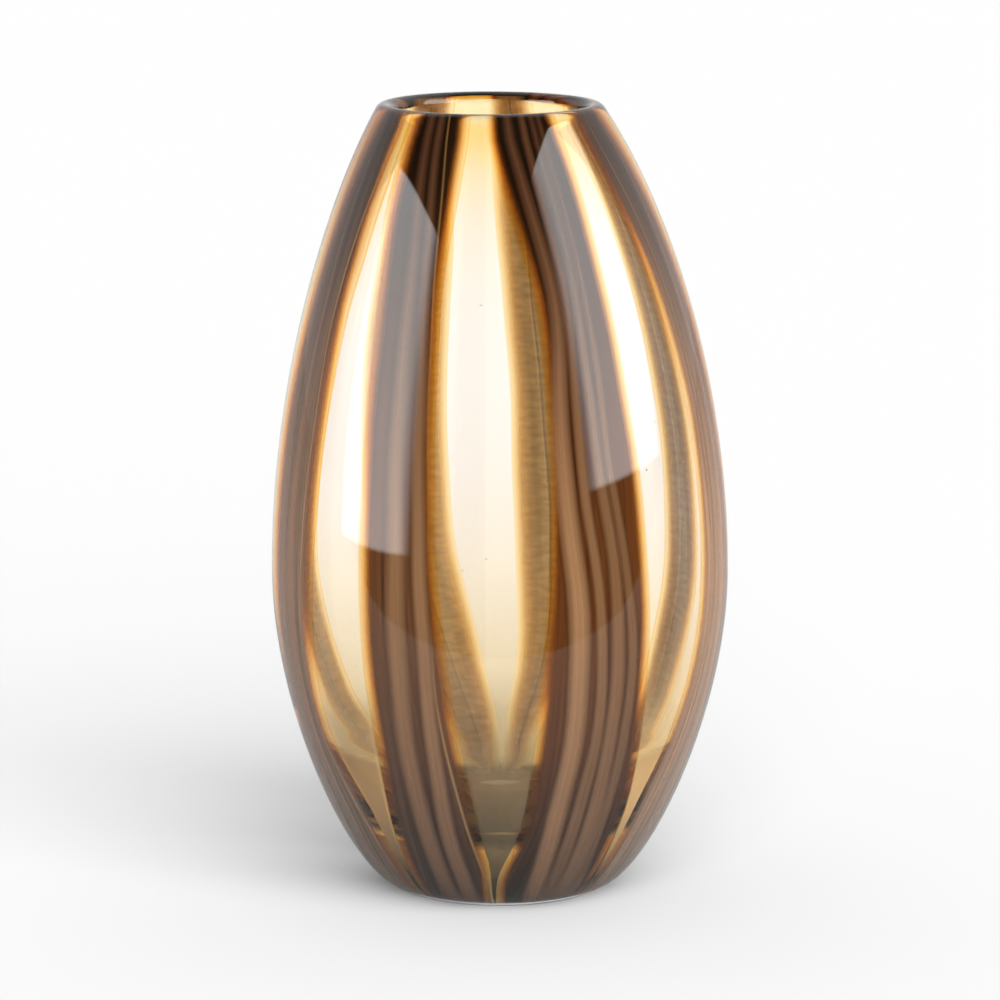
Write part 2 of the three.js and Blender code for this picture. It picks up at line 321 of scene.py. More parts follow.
def add_seed_bubble(vertices, faces, centre, radius):
    """A round bubble of air in the glass: its faces point into it."""
    x, y, z = centre
    first = len(vertices)
    vertices.append((x, y, z + radius))
    for r in range(1, BUBBLE_ROWS):
        polar = math.pi * r / BUBBLE_ROWS
        ring = radius * math.sin(polar)
        level = z + radius * math.cos(polar)
        for c in range(BUBBLE_COLUMNS):
            turn = 2 * math.pi * c / BUBBLE_COLUMNS
            vertices.append((x + ring * math.cos(turn), y + ring * math.sin(turn), level))
    vertices.append((x, y, z - radius))
    bottom = len(vertices) - 1
    low = bottom - BUBBLE_COLUMNS
    for c in range(BUBBLE_COLUMNS):
        n = (c + 1) % BUBBLE_COLUMNS
        faces.append((first, first + 1 + n, first + 1 + c))
        for r in range(BUBBLE_ROWS - 2):
            a = first + 1 + r * BUBBLE_COLUMNS
            b = a + BUBBLE_COLUMNS
            faces.append((a + c, a + n, b + n, b + c))
        faces.append((bottom, low + c, low + n))


def add_seed_bubbles(vertices, faces):
    """Scattered between the canes and the inside of the wall, and one larger in the base."""
    scatter = random.Random(SEED_SCATTER)
    for _ in range(SEED_COUNT):
        station = STATIONS[scatter.randrange(*SEED_STATIONS)]
        height = station[0].y
        far = thickness(CANE_DEPTH, height) + thickness(CANE_THICKNESS, height)
        depth = (far + thickness(WALL_THICKNESS, height)) / 2
        point = inset(station, depth)
        radius = scatter.uniform(*SEED_RADIUS)
        add_seed_bubble(vertices, faces, place(point.x, point.y, scatter.uniform(-180, 180)), radius)
    angle, height, inward, radius = BASE_BUBBLE
    station = min(STATIONS, key=lambda s: abs(s[0].y - height))
    point = inset(station, inward)
    add_seed_bubble(vertices, faces, place(point.x, point.y, angle), radius)


def make_wall():
    profile = wall_profile()
    vertices = [(0, 0, 0)]
    for point in profile:
        for k in range(WALL_SEGMENTS):
            vertices.append(place(point.x, point.y, 360 * k / WALL_SEGMENTS))
    vertices.append((0, 0, FLOOR_HEIGHT))
    centre = len(vertices) - 1
    faces = []
    last = len(profile) - 1
    for k in range(WALL_SEGMENTS):
        n = (k + 1) % WALL_SEGMENTS
        faces.append((0, 1 + n, 1 + k))
        for i in range(last):
            a = 1 + i * WALL_SEGMENTS
            b = a + WALL_SEGMENTS
            faces.append((a + k, a + n, b + n, b + k))
        top = 1 + last * WALL_SEGMENTS
        faces.append((top + k, top + n, centre))
    add_seed_bubbles(vertices, faces)
    return make_piece("glass_wall", vertices, faces, ["inner_bubble", "clear_casing"])


# ---------------------------------------------------------------- canes


def slope_at(values, level):
    above, below = max(level - 1, 0), min(level + 1, len(LEVELS) - 1)
    return (values[above] - values[below]) / (LEVELS[above] - LEVELS[below])


def at_height(values, height):
    """A smooth value between the levels, a cubic with the slopes of its neighbours."""
    h = height / MM
    if h >= LEVELS[0]:
        return values[0]
    if h <= LEVELS[-1]:
        return values[-1]
    i = next(k for k in range(len(LEVELS) - 1) if LEVELS[k] >= h > LEVELS[k + 1])
    span = LEVELS[i] - LEVELS[i + 1]
    t = (LEVELS[i] - h) / span
    start, end = -slope_at(values, i) * span, -slope_at(values, i + 1) * span
    drop = values[i + 1] - values[i]
    return values[i] + start * t * (1 - t) ** 2 + drop * t * t * (3 - 2 * t) - end * t * t * (1 - t)


UNDERSIDE_RADII = [10 * MM, 16 * MM, 23 * MM, 31 * MM, 37 * MM]
CLOSING = 0.4                  # how far the bands close up under the foot
CLOSING_HEIGHT = 6 * MM        # where they begin to
CANE_TOP_RISE = 2.6 * MM       # the canes run this far into the round of the lip
UMBER_STRIPS = 10
THREAD_STRIPS = 8
AMBER_STRIPS = 12


def cane_stations():
    under = [(Vector((radius, FOOT_BEVEL)), Vector((0, 1))) for radius in UNDERSIDE_RADII]
    return under + STATIONS[::2]


def softness(index, side):
    return BANDS[index]["soft"][0 if side == "left" else 1]


def facing_edge(index, side, height):
    """The edge of the next band that faces this one."""
    step, other_side = (-1, "right") if side == "left" else (1, "left")
    edge = at_height(BANDS[index][side], height)
    other = at_height(BANDS[(index + step) % len(BANDS)][other_side], height)
    return other + round((edge - other) / 360) * 360


def wander(seed, height, reach):
    """The small uneven run of hand-laid glass, in millimetres."""
    h = height / MM
    swing = sum(share * math.sin(h / length + seed * shift) for share, length, shift in WANDER_WAVES)
    return reach * swing / sum(wave[0] for wave in WANDER_WAVES)


def listed_edge(index, side, station):
    """The edge of a band, closing up on the next band under the foot."""
    edge = at_height(BANDS[index][side], station[0].y)
    if station[0].y > CLOSING_HEIGHT:
        return edge
    other = facing_edge(index, side, station[0].y)
    share = (1 - max(station[0].y, 0) / CLOSING_HEIGHT) * CLOSING
    return lerp(edge, (edge + other) / 2, share)


def band_edge(index, side, station):
    """The outside of the soft edge of a band."""
    outward = -1 if side == "left" else 1
    height = station[0].y
    gap = abs(facing_edge(index, side, height) - at_height(BANDS[index][side], height))
    reach = softness(index, side) * BLEED + wander(index + outward * SIDE_SEED, height, EDGE_WANDER)
    bleed = math.degrees(reach * MM / station[0].x)
    return listed_edge(index, side, station) + outward * min(bleed, gap * BLEED_LIMIT)


def by_height(values, height):
    """A value between those given at the lip, at the belly and at the foot."""
    lip, belly, foot = values
    end = lip if height > BELLY_HEIGHT else foot
    return lerp(belly, end, math.sqrt(thickening(height)))


def thread_centre(index, thread, station):
    path = thread[1]
    if isinstance(path, list):
        centre = at_height(path, station[0].y)
    else:
        centre = lerp(listed_edge(index, "left", station), listed_edge(index, "right", station), path)
    seed = index * BAND_SEED + BANDS[index]["threads"].index(thread)
    stray = wander(seed, station[0].y, THREAD_WANDER)
    return centre + math.degrees(stray * min(1, station[0].x / FOOT_RADIUS) * MM / station[0].x)


def thread_edges(index, thread, station):
    centre = thread_centre(index, thread, station)
    under = min(1, station[0].x / FOOT_RADIUS)
    half = math.degrees(under * by_height(thread[2], station[0].y) * MM / 2 / station[0].x)
    return centre - half, centre + half


def make_cane(name, stations, across, edges, depths, limits, soft, strengths, replaced):
    """A closed cane between two edges, with a square section, or a lens section if it has strengths.

    across is how many strips it has from edge to edge. limits are the edges of its whole band, and soft
    is how far each shades off, in millimetres. The material of the inside is its second.
    """
    vertices, faces, edge_values, heights, lays, solidity = [], [], [], [], [], []
    inner_steps = range(across - 1, 0, -1) if strengths else range(across, -1, -1)
    for station in stations:
        left, right = edges(station)
        low, high = limits(station)
        near, far = depths(station)
        rise = CANE_TOP_RISE if station is stations[-1] else 0
        for side in (0, 1):
            for i in range(across + 1) if side == 0 else inner_steps:
                u = i / across
                swell = math.sqrt(max(0, 1 - (2 * u - 1) ** 2)) if strengths else 1
                middle = (near + far) / 2
                depth = middle + (near - middle if side == 0 else far - middle) * swell
                point = inset(station, depth) + Vector((station[1].y, -station[1].x)) * rise
                degrees = lerp(left, right, u)
                vertices.append(place(point.x, point.y, degrees))
                arc = math.radians(1) * station[0].x / MM
                edge_values.append(min((degrees - low) / soft[0], (high - degrees) / soft[1]) * arc)
                heights.append(station[0].y / HEIGHT)
                solidity.append(by_height(strengths, station[0].y) if strengths else 1)
                lays.append(((degrees - (low + high) / 2) * arc, station[0].y / MM, 0))
    ring = across + 1 + len(inner_steps)
    rows = len(stations)
    for r in range(rows - 1):
        for k in range(ring):
            n = (k + 1) % ring
            faces.append((r * ring + k, r * ring + n, (r + 1) * ring + n, (r + 1) * ring + k))
    faces.append(tuple(reversed(range(ring))))
    faces.append(tuple((rows - 1) * ring + k for k in range(ring)))
    piece = make_piece(name, vertices, faces, replaced)
    mesh = piece.data
    attributes = {"edge": edge_values, "rise": heights, "strength": solidity, "pale": [0.0] * len(vertices)}
    for attribute, values in attributes.items():
        mesh.attributes.new(attribute, "FLOAT", "POINT").data.foreach_set("value", values)
    flat = [c for lay in lays for c in lay]
    mesh.attributes.new("lay", "FLOAT_VECTOR", "POINT").data.foreach_set("vector", flat)
    for number, polygon in enumerate(mesh.polygons):
        inner = number < ring * (rows - 1) and number % ring >= across
        polygon.material_index = 1 if inner else 0
    return piece


def set_pale(piece, pale):
    values = [by_height(pale, vertex.co.z) for vertex in piece.data.vertices]
    piece.data.attributes["pale"].data.foreach_set("value", values)


def cane_depths(station):
    near = thickness(CANE_DEPTH, station[0].y)
    return near, near + thickness(CANE_THICKNESS, station[0].y)


def thread_depths(station):
    layer = thickness(CANE_DEPTH, station[0].y)
    return layer * THREAD_DEPTH_SHARES[0], layer * THREAD_DEPTH_SHARES[1]


# ---------------------------------------------------------------- materials


class Graph:
    """A short way to write a node tree."""

    def __init__(self, name):
        self.material = bpy.data.materials.new(name)
        self.material.use_nodes = True
        self.tree = self.material.node_tree
        self.tree.nodes.clear()
        self.output = self.tree.nodes.new("ShaderNodeOutputMaterial")

    def node(self, kind, inputs=None, **settings):
        node = self.tree.nodes.new(kind)
        for key, value in settings.items():
            setattr(node, key, value)
        for key, value in (inputs or {}).items():
            socket = node.inputs[key]
            if isinstance(value, bpy.types.NodeSocket):
                self.tree.links.new(value, socket)
            else:
                socket.default_value = value
        return node

    def attribute(self, name, output="Fac"):
        return self.node("ShaderNodeAttribute", attribute_name=name).outputs[output]

    def maths(self, operation, a, b=0.0, clamp=False):
        return self.node("ShaderNodeMath", {0: a, 1: b}, operation=operation, use_clamp=clamp).outputs[0]

    def ramp(self, factor, stops, interpolation="B_SPLINE"):
        node = self.node("ShaderNodeValToRGB", {0: factor})
        node.color_ramp.interpolation = interpolation
        elements = node.color_ramp.elements
        while len(elements) < len(stops):
            elements.new(0.5)
        for element, (position, colour) in zip(elements, sorted(stops)):
            element.position = position
            element.color = (*colour, 1)
        return node.outputs[0]

    def mixed(self, factor, a, b, **settings):
        return self.node("ShaderNodeMix", {0: factor, 6: a, 7: b}, data_type="RGBA", **settings).outputs[2]

    def tinted(self, colour, by):
        return self.mixed(1.0, colour, by, blend_type="MULTIPLY")

    def blend(self, factor, a, b):
        return self.node("ShaderNodeMixShader", {0: factor, 1: a, 2: b}).outputs[0]

    def finish(self, shader):
        self.tree.links.new(shader, self.output.inputs["Surface"])
        return self.material


def grey(value):
    return (value, value, value)


def wall_material():
    g = Graph("clear_glass")
    lay = g.node("ShaderNodeTexCoord").outputs["Object"]
    wave = g.node("ShaderNodeTexNoise", {"Vector": lay, "Scale": 14.0, "Detail": 1.0}).outputs[0]
    bump = g.node("ShaderNodeBump", {"Strength": 0.05, "Distance": 0.001, "Height": wave}).outputs[0]
    glass = g.node(
        "ShaderNodeBsdfPrincipled",
        {
            "Base Color": (1, 1, 1, 1),
            "Roughness": 0.0,
            "IOR": 1.5,
            "Transmission Weight": 1.0,
            "Normal": bump,
        },
    ).outputs[0]
    clear = g.node("ShaderNodeBsdfTransparent", {"Color": (*grey(0.9), 1)}).outputs[0]
    shadow = g.node("ShaderNodeLightPath").outputs["Is Shadow Ray"]
    return g.finish(g.blend(shadow, glass, clear))


def ground_material():
    """The edge of the foot, ground flat and left frosted."""
    g = Graph("ground_glass")
    grain = g.node("ShaderNodeTexNoise", {"Scale": 900.0, "Detail": 2.0}).outputs[0]
    bump = g.node("ShaderNodeBump", {"Strength": 0.3, "Distance": 0.0002, "Height": grain}).outputs[0]
    frost = g.node("ShaderNodeBsdfDiffuse", {"Color": (0.6, 0.6, 0.62, 1), "Normal": bump}).outputs[0]
    gloss = g.node("ShaderNodeBsdfGlossy", {"Roughness": 0.35, "Normal": bump}).outputs[0]
    return g.finish(g.blend(0.15, frost, gloss))


# Colours at each share of the height: darker at the lip and at the foot, where the glass is thick. For the
# umber bands this darkening is also painted shade, where the thick base and the bands behind keep back the
# light from behind.
UMBER_AND_SHADE_RISE = [
    (0.0, (0.012, 0.008, 0.006)),
    (0.05, (0.03, 0.014, 0.009)),
    (0.13, (0.07, 0.027, 0.013)),
    (0.25, (0.13, 0.046, 0.016)),
    (0.45, (0.16, 0.053, 0.014)),
    (0.62, (0.11, 0.036, 0.011)),
    (0.78, (0.045, 0.015, 0.005)),
    (0.9, (0.016, 0.007, 0.003)),
    (1.0, (0.01, 0.006, 0.003)),
]
TAUPE_RISE = [
    (0.0, (0.3, 0.17, 0.1)),
    (0.13, (0.4, 0.225, 0.125)),
    (0.25, (0.4, 0.225, 0.115)),
    (0.5, (0.4, 0.22, 0.1)),
    (0.7, (0.26, 0.13, 0.065)),
    (0.85, (0.15, 0.063, 0.028)),
    (1.0, (0.11, 0.042, 0.018)),
]
PALE_RISE = [
    (0.0, (0.46, 0.31, 0.22)),
    (0.2, (0.76, 0.49, 0.31)),
    (0.5, (0.8, 0.46, 0.25)),
    (0.7, (0.5, 0.25, 0.11)),
    (0.85, (0.24, 0.13, 0.075)),
    (1.0, (0.14, 0.08, 0.05)),
]
TAN_RISE = [
    (0.0, (0.45, 0.33, 0.18)),
    (0.15, (0.6, 0.4, 0.2)),
    (0.28, (1.0, 0.63, 0.21)),
    (0.6, (1.0, 0.62, 0.17)),
    (0.85, (1.0, 0.62, 0.2)),
    (0.95, (0.55, 0.28, 0.08)),
    (1.0, (0.25, 0.1, 0.03)),
]
AMBER_THREAD_RISE = [
    (0.0, (0.3, 0.18, 0.07)),
    (0.15, (0.55, 0.33, 0.14)),
    (0.4, (0.8, 0.5, 0.22)),
    (0.8, (0.75, 0.42, 0.14)),
    (1.0, (0.4, 0.18, 0.04)),
]
# What one face of a band lets through, from its outer edge inward over its soft edge.
EDGE_CLEAR = [
    (0.0, (1.0, 0.985, 0.95)),
    (0.15, (0.96, 0.83, 0.62)),
    (0.35, (0.86, 0.6, 0.32)),
    (0.55, (0.7, 0.38, 0.14)),
    (0.78, (0.4, 0.17, 0.045)),
    (1.0, (0.2, 0.075, 0.02)),
]


NOISE_RANGE = (0.3, 0.7)      # what a noise texture mostly keeps to
# What is taken off the outside of a band where it is seen from the inside of the vase: how far its edge
# reaches in, and how solid it is.
THINNER_BEHIND = 0.55
CLEARER_BEHIND = 0.97


def streaks(g, across, along, low, high, detail=3.0):
    """A factor that varies in streaks: across and along are the scales per millimetre."""
    lay = g.attribute("lay", "Vector")
    scaled = g.node("ShaderNodeVectorMath", {0: lay, 1: (across, along, 1)}, operation="MULTIPLY").outputs[0]
    noise = g.node("ShaderNodeTexNoise", {"Vector": scaled, "Scale": 1.0, "Detail": detail}).outputs[0]
    inputs = {0: noise, 1: NOISE_RANGE[0], 2: NOISE_RANGE[1], 3: low, 4: high}
    return g.node("ShaderNodeMapRange", inputs).outputs[0]


def faded(g, low, high, top):
    """How solid the colour is: nothing at the share low of the soft edge, top at the share high."""
    return g.node(
        "ShaderNodeMapRange",
        {0: g.attribute("edge"), 1: low, 2: high, 3: 0.0, 4: top},
        clamp=True,
        interpolation_type="SMOOTHSTEP",
    ).outputs[0]


def milky(g, colour, translucency, tint, opacity, shade):
    """Coloured glass that scatters light. shade is how much light it lets on to what is behind it."""
    diffuse = g.node("ShaderNodeBsdfDiffuse", {"Color": colour}).outputs[0]
    through = g.node("ShaderNodeBsdfTranslucent", {"Color": colour}).outputs[0]
    body = g.blend(translucency, diffuse, through)
    clear = g.node("ShaderNodeBsdfTransparent", {"Color": tint}).outputs[0]
    seen = g.blend(opacity, clear, body)
    unseen = g.node("ShaderNodeBsdfTransparent", {"Color": (*grey(shade), 1)}).outputs[0]
    shadow = g.node("ShaderNodeLightPath").outputs["Is Shadow Ray"]
    return g.finish(g.blend(shadow, seen, unseen))


def umber_outer():
    """The outside of a band. From the inside of the vase more of the light behind it comes through."""
    g = Graph("umber_glass")
    behind = g.node("ShaderNodeNewGeometry").outputs["Backfacing"]
    pale = g.maths("MULTIPLY", g.attribute("pale"), streaks(g, 0.22, 0.006, 0.35, 1.5), clamp=True)
    # The umber colour by height carries painted shade at the lip and at the foot.
    umber, paler = [g.ramp(g.attribute("rise"), stops) for stops in (UMBER_AND_SHADE_RISE, PALE_RISE)]
    colour = g.mixed(pale, umber, paler)
    colour = g.tinted(colour, streaks(g, 0.45, 0.008, 0.7, 1.3))
    thinner = g.maths("SUBTRACT", 1.0, g.maths("MULTIPLY", behind, THINNER_BEHIND))
    tint = g.ramp(g.maths("MULTIPLY", g.attribute("edge"), thinner, clamp=True), EDGE_CLEAR, "LINEAR")
    tint = g.tinted(tint, g.ramp(g.attribute("rise"), [(0.0, grey(0.3)), (0.14, grey(1.0))], "LINEAR"))
    clearer = g.maths("SUBTRACT", 1.0, g.maths("MULTIPLY", behind, CLEARER_BEHIND))
    return milky(g, colour, 0.35, tint, g.maths("MULTIPLY", faded(g, 0.3, 1.05, 0.95), clearer), 0.7)


def umber_inner():
    g = Graph("umber_glass_inside")
    colour = g.tinted(g.ramp(g.attribute("rise"), TAN_RISE), streaks(g, 0.14, 0.45, 0.76, 1.14, 3.5))
    colour = g.tinted(colour, streaks(g, 0.25, 0.01, 0.8, 1.1))
    return milky(g, colour, 0.45, (1, 0.84, 0.52, 1), faded(g, 0.2, 1.6, 0.66), 0.85)


def taupe():
    g = Graph("taupe_glass")
    pale = g.maths("MULTIPLY", g.attribute("pale"), 0.8)
    milky_brown, paler = [g.ramp(g.attribute("rise"), stops) for stops in (TAUPE_RISE, PALE_RISE)]
    colour = g.mixed(pale, milky_brown, paler)
    colour = g.tinted(colour, streaks(g, 0.9, 0.006, 0.85, 1.15))
    opacity = g.maths("MULTIPLY", faded(g, 0.0, 0.85, 0.92), g.attribute("strength"))
    return milky(g, colour, 0.3, (1, 1, 1, 1), opacity, 0.8)


def amber_thread():
    g = Graph("amber_thread_glass")
    colour = g.ramp(g.attribute("rise"), AMBER_THREAD_RISE)
    opacity = g.maths("MULTIPLY", faded(g, 0.0, 0.9, 0.8), g.attribute("strength"))
    return milky(g, colour, 0.4, (1, 1, 1, 1), opacity, 0.9)


# What one face of an amber cane lets through at each height.
AMBER_CLEAR = [
    (0.0, (0.4, 0.35, 0.25)),
    (0.03, (0.62, 0.54, 0.4)),
    (0.07, (0.86, 0.78, 0.6)),
    (0.15, (0.93, 0.87, 0.73)),
    (0.25, (0.955, 0.905, 0.81)),
    (0.35, (0.978, 0.94, 0.87)),
    (0.5, (0.99, 0.968, 0.94)),
    (0.7, (0.995, 0.98, 0.96)),
    (0.83, (0.997, 0.975, 0.935)),
    (0.9, (0.997, 0.958, 0.88)),
    (0.94, (0.997, 0.945, 0.81)),
    (0.97, (0.995, 0.91, 0.69)),
]


# The amber canes grow milky towards the foot, and dull under it. The milk's colour is partly painted light: a
# painted glow for the light that enters the base from the sides, fading to painted shade, nearly black, at
# the foot. For each kind of cane: the colour of the milk, and how much of it there is, at each share of the
# height.
# Nearly black at the foot: painted shade where the foot meets the table.
FOOT_PAINTED_SHADE = [(0.0, (0.02, 0.018, 0.016)), (0.035, (0.06, 0.05, 0.034))]
AMBER_MILK_AND_GLOW = {
    "plain": (
        FOOT_PAINTED_SHADE + [(0.06, (0.4, 0.3, 0.16)), (0.1, (0.9, 0.66, 0.33))],
        [(0.0, 0.9), (0.03, 0.7), (0.06, 0.3), (0.1, 0.15), (0.15, 0.04), (0.19, 0.0)],
    ),
    "dull": (
        FOOT_PAINTED_SHADE + [(0.05, (0.1, 0.08, 0.05)), (0.13, (0.17, 0.125, 0.07)), (0.2, (0.32, 0.21, 0.11))],
        [(0.0, 0.95), (0.03, 0.85), (0.05, 0.7), (0.1, 0.6), (0.18, 0.5), (0.21, 0.12), (0.24, 0.0)],
    ),
    "creamy": (
        FOOT_PAINTED_SHADE + [(0.07, (0.5, 0.34, 0.17)), (0.13, (0.86, 0.56, 0.25)), (0.2, (1.0, 0.68, 0.31))],
        [
            (0.0, 0.95), (0.03, 0.85), (0.07, 0.75), (0.12, 0.7),
            (0.17, 0.48), (0.22, 0.22), (0.29, 0.06), (0.36, 0.0),
        ],
    ),
}
# The kinds are lit and shaded copies of one amber: the side canes 1 and 3 get a brighter painted glow of the
# light through the base, and the front cane 2 a dimmer one.
AMBER_KINDS = {1: "creamy", 2: "dull", 3: "creamy"}      # cane 2 is at the front, with 1 and 3 beside it


def amber(kind):
    g = Graph(f"amber_glass_{kind}")
    colours, depths = AMBER_MILK_AND_GLOW[kind]
    tint = g.ramp(g.attribute("rise"), AMBER_CLEAR, "LINEAR")
    clear = g.node("ShaderNodeBsdfTransparent", {"Color": tint}).outputs[0]
    # The milk's colour by height is partly a painted glow of light through the base, and painted shade at the
    # foot.
    milk_and_glow_colour = g.ramp(g.attribute("rise"), colours, "LINEAR")
    milk_and_glow = g.node("ShaderNodeBsdfDiffuse", {"Color": milk_and_glow_colour}).outputs[0]
    depth = g.ramp(g.attribute("rise"), [(p, grey(v)) for p, v in depths], "LINEAR")
    seen = g.blend(depth, clear, milk_and_glow)
    unseen = g.node("ShaderNodeBsdfTransparent", {"Color": (*grey(0.95), 1)}).outputs[0]
    shadow = g.node("ShaderNodeLightPath").outputs["Is Shadow Ray"]
    return g.finish(g.blend(shadow, seen, unseen))


# ---------------------------------------------------------------- the vase


def add_wall():
    wall = make_wall()
    wall.data.materials.append(wall_material())
    wall.data.materials.append(ground_material())
    for polygon in wall.data.polygons:
        x, y, z = polygon.center
        if 0 < z < FOOT_BEVEL and math.hypot(x, y) > FOOT_RADIUS - FOOT_BEVEL:
            polygon.material_index = 1


def add_bands():
    stations = cane_stations()
    faces = {"umber": (umber_outer(), umber_inner()), "taupe": (taupe(),) * 2, "amber": (amber_thread(),) * 2}
    for index, band in enumerate(BANDS):

        def limits(station, index=index):
            return band_edge(index, "left", station), band_edge(index, "right", station)

        def middle(thread, station, index=index):
            return thread_centre(index, thread, station)

        threads = band["threads"]
        for i in range(len(threads) + 1):

            def edges(station, i=i, index=index):
                left = middle(threads[i - 1], station) if i else band_edge(index, "left", station)
                last = i == len(threads)
                right = band_edge(index, "right", station) if last else middle(threads[i], station)
                return left, right

            name = f"{band['name']}_umber_cane_{i + 1}"
            cane = make_cane(
                f"{name}_glass",
                stations,
                UMBER_STRIPS,
                edges,
                cane_depths,
                limits,
                band["soft"],
                None,
                [name],
            )
            set_pale(cane, band["pale"])
            for material in faces["umber"]:
                cane.data.materials.append(material)
        for i, thread in enumerate(threads):

            def edges(station, thread=thread, index=index):
                return thread_edges(index, thread, station)

            name = f"{band['name']}_{thread[0]}_thread_{i + 1}"
            half = thread[2][1] / 2
            strand = make_cane(
                f"{name}_glass",
                stations,
                THREAD_STRIPS,
                edges,
                thread_depths,
                edges,
                (half, half),
                thread[3],
                [name],
            )
            set_pale(strand, band["pale"])
            for material in faces[thread[0]]:
                strand.data.materials.append(material)


def add_amber_canes():
    stations = cane_stations()
    materials = {kind: amber(kind) for kind in AMBER_MILK_AND_GLOW}
    for index in range(len(BANDS)):
        following = (index + 1) % len(BANDS)
        wrap = 360 if following == 0 else 0

        def edges(station, index=index, following=following, wrap=wrap):
            return band_edge(index, "right", station), band_edge(following, "left", station) + wrap

        name = f"amber_cane_{index + 1}"
        cane = make_cane(
            f"{name}_glass",
            stations,
            AMBER_STRIPS,
            edges,
            cane_depths,
            edges,
            (1, 1),
            None,
            [name],
        )
        for _ in range(2):
            cane.data.materials.append(materials[AMBER_KINDS.get(index + 1, "plain")])


add_wall()
add_bands()
add_amber_canes()

# ---------------------------------------------------------------- stage, lights and camera

TABLE_FRONT = -0.33
FLOOR_FAR = 9.0
FLOOR_SIDE = 7.0
TABLE_WHITE = 0.55
TABLE_DIRECT = 0.87        # the share of that for what the camera sees past the glass
TABLE_MIRRORED = 0.55      # the share of that for what the glass mirrors
TABLE_LEVEL = -0.0003      # just clear of the foot


def add_card(name, left, right, low, high):
    """A flat rectangle in its own XY plane."""
    mesh = bpy.data.meshes.new(name)
    corners = [(left, low, 0), (right, low, 0), (right, high, 0), (left, high, 0)]
    mesh.from_pydata(corners, [], [(0, 1, 2, 3)])
    card = bpy.data.objects.new(name, mesh)
    bpy.context.scene.collection.objects.link(card)
    return card


def add_floor(name, low, high, seen_in_gloss):
    """A pale table. The camera and the glass each see it at their own brightness."""
    floor = add_card(name, -FLOOR_SIDE, FLOOR_SIDE, low, high)
    floor.location.z = TABLE_LEVEL
    floor.visible_glossy = seen_in_gloss
    g = Graph(name)
    bright = g.node("ShaderNodeBsdfDiffuse", {"Color": (*grey(TABLE_WHITE), 1)}).outputs[0]
    dull = g.node("ShaderNodeBsdfDiffuse", {"Color": (*grey(TABLE_WHITE * TABLE_MIRRORED), 1)}).outputs[0]
    path = g.node("ShaderNodeLightPath")
    glossy, transmitted = path.outputs["Is Glossy Ray"], path.outputs["Is Transmission Ray"]
    mirrored = g.maths("SUBTRACT", glossy, transmitted, clamp=True)
    direct = g.node("ShaderNodeBsdfDiffuse", {"Color": (*grey(TABLE_WHITE * TABLE_DIRECT), 1)}).outputs[0]
    seen = g.blend(path.outputs["Is Camera Ray"], g.blend(mirrored, bright, dull), direct)
    floor.data.materials.append(g.finish(seen))


add_floor("table", TABLE_FRONT, FLOOR_FAR, True)
add_floor("table_in_front", -FLOOR_FAR, TABLE_FRONT, False)

AIM_HEIGHT = 0.15
SOFTBOX_DISTANCE = 1.2


def direction(azimuth, elevation):
    """Towards a light. Azimuth is measured like the angles on the vase."""
    a, e = math.radians(azimuth), math.radians(elevation)
    return Vector((math.sin(a) * math.cos(e), -math.cos(a) * math.cos(e), math.sin(e)))


def add_light(name, kind, azimuth, elevation, distance, strength):
    data = bpy.data.lights.new(name, kind)
    data.energy = strength
    light = bpy.data.objects.new(name, data)
    bpy.context.scene.collection.objects.link(light)
    towards = direction(azimuth, elevation)
    light.location = towards * distance + Vector((0, 0, AIM_HEIGHT))
    light.rotation_euler = (-towards).to_track_quat("-Z", "Y").to_euler()
    light.visible_camera = False
    light.visible_transmission = False
    return light


def add_softbox(name, azimuth, elevation, width, height, radiance, fade):
    """A soft box that only shows as a reflection. fade is the share of it over which each border dims."""
    box = add_card(name, -width / 2, width / 2, -height / 2, height / 2)
    towards = direction(azimuth, elevation)
    box.location = towards * SOFTBOX_DISTANCE + Vector((0, 0, AIM_HEIGHT))
    box.rotation_euler = (-towards).to_track_quat("Z", "Y").to_euler()
    box.visible_camera = False
    box.visible_diffuse = False
    box.visible_transmission = False
    box.visible_shadow = False
    g = Graph(name)
    place_on_box = g.node("ShaderNodeTexCoord").outputs["Generated"]
    x, y, _ = g.node("ShaderNodeSeparateXYZ", {0: place_on_box}).outputs
    borders = (x, g.maths("SUBTRACT", 1.0, x), y, g.maths("SUBTRACT", 1.0, y))
    level = radiance
    for border, share in zip(borders, fade):
        inputs = {0: border, 1: 0.0, 2: share, 3: 0.0, 4: 1.0}
        eased = g.node("ShaderNodeMapRange", inputs, interpolation_type="SMOOTHSTEP").outputs[0]
        level = g.maths("MULTIPLY", level, eased)
    box.data.materials.append(g.finish(g.node("ShaderNodeEmission", {"Strength": level}).outputs[0]))


add_softbox("softbox_left", -64, 14.5, 1.0, 0.9, 5.4, (0.22, 0.1, 0.02, 0.02))
add_softbox("softbox_right", 66.5, 26, 1.15, 1.05, 5.4, (0.1, 0.2, 0.02, 0.02))

key = add_light("key", "SUN", 20, 38, 1.0, 6.6)
key.data.angle = math.radians(60)
key.visible_glossy = False

WHITE = 1.1                # what the camera sees of the room, past the glass or through it
AMBIENT = (0.76, 1.34)     # what lights the vase, in front of it and behind it
MIRRORED = (0.02, 1.0)     # what the glass mirrors, in front of it and behind it
ROOM_TURN = (-0.1, 0.5)    # the Y of a direction where the front ends, and where the back begins


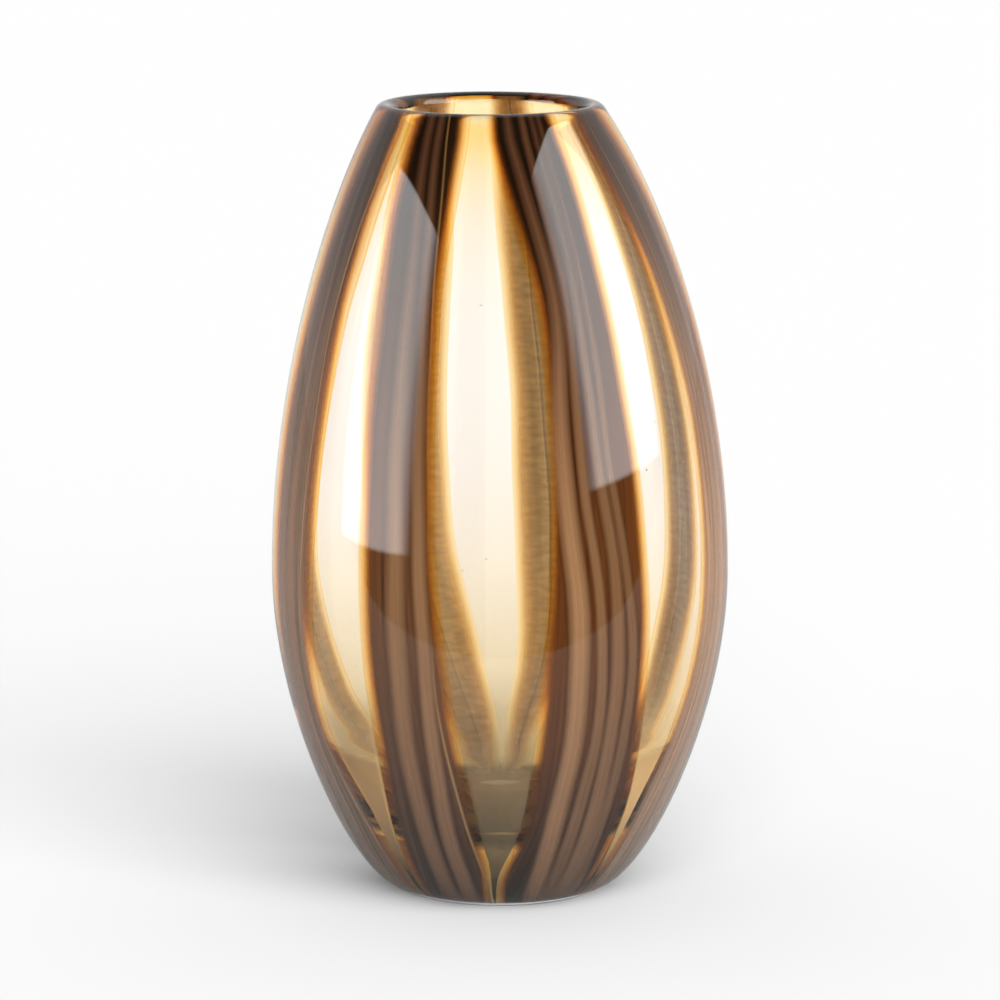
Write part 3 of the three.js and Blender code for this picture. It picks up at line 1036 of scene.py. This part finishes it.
def make_world():
    world = bpy.data.worlds.new("studio")
    bpy.context.scene.world = world
    world.use_nodes = True
    tree = world.node_tree
    tree.nodes.clear()
    output = tree.nodes.new("ShaderNodeOutputWorld")
    path = tree.nodes.new("ShaderNodeLightPath")
    either = tree.nodes.new("ShaderNodeMath")
    either.operation = "MAXIMUM"
    tree.links.new(path.outputs["Is Camera Ray"], either.inputs[0])
    tree.links.new(path.outputs["Is Transmission Ray"], either.inputs[1])
    coordinates = tree.nodes.new("ShaderNodeTexCoord")
    separate = tree.nodes.new("ShaderNodeSeparateXYZ")
    tree.links.new(coordinates.outputs["Generated"], separate.inputs[0])

    def from_front_to_back(front, back):
        spread = tree.nodes.new("ShaderNodeMapRange")
        for number, value in enumerate((*ROOM_TURN, front, back), start=1):
            spread.inputs[number].default_value = value
        tree.links.new(separate.outputs["Y"], spread.inputs[0])
        return spread.outputs[0]

    gloss = tree.nodes.new("ShaderNodeMix")
    gloss.data_type = "FLOAT"
    tree.links.new(path.outputs["Is Glossy Ray"], gloss.inputs[0])
    tree.links.new(from_front_to_back(*AMBIENT), gloss.inputs[2])
    tree.links.new(from_front_to_back(*MIRRORED), gloss.inputs[3])
    level = tree.nodes.new("ShaderNodeMix")
    level.data_type = "FLOAT"
    tree.links.new(either.outputs[0], level.inputs[0])
    tree.links.new(gloss.outputs[0], level.inputs[2])
    level.inputs[3].default_value = WHITE
    background = tree.nodes.new("ShaderNodeBackground")
    tree.links.new(level.outputs[0], background.inputs["Strength"])
    tree.links.new(background.outputs[0], output.inputs["Surface"])


make_world()

CAMERA_DISTANCE = 1.8
CAMERA_HEIGHT = 0.4955
CAMERA_PITCH = 10.917
CAMERA_LENS = 173.25
CAMERA_SENSOR = 36

camera_data = bpy.data.cameras.new("camera")
camera_data.lens = CAMERA_LENS
camera_data.sensor_width = CAMERA_SENSOR
camera = bpy.data.objects.new("camera", camera_data)
bpy.context.scene.collection.objects.link(camera)
camera.location = (0, -CAMERA_DISTANCE, CAMERA_HEIGHT)
camera.rotation_euler = (math.radians(90 - CAMERA_PITCH), 0, 0)
bpy.context.scene.camera = camera

scene = bpy.context.scene
scene.view_settings.view_transform = "Standard"
scene.cycles.max_bounces = 24
scene.cycles.transmission_bounces = 24
scene.cycles.glossy_bounces = 8
scene.cycles.diffuse_bounces = 4
scene.cycles.transparent_max_bounces = 96
scene.cycles.caustics_reflective = False
scene.cycles.caustics_refractive = False
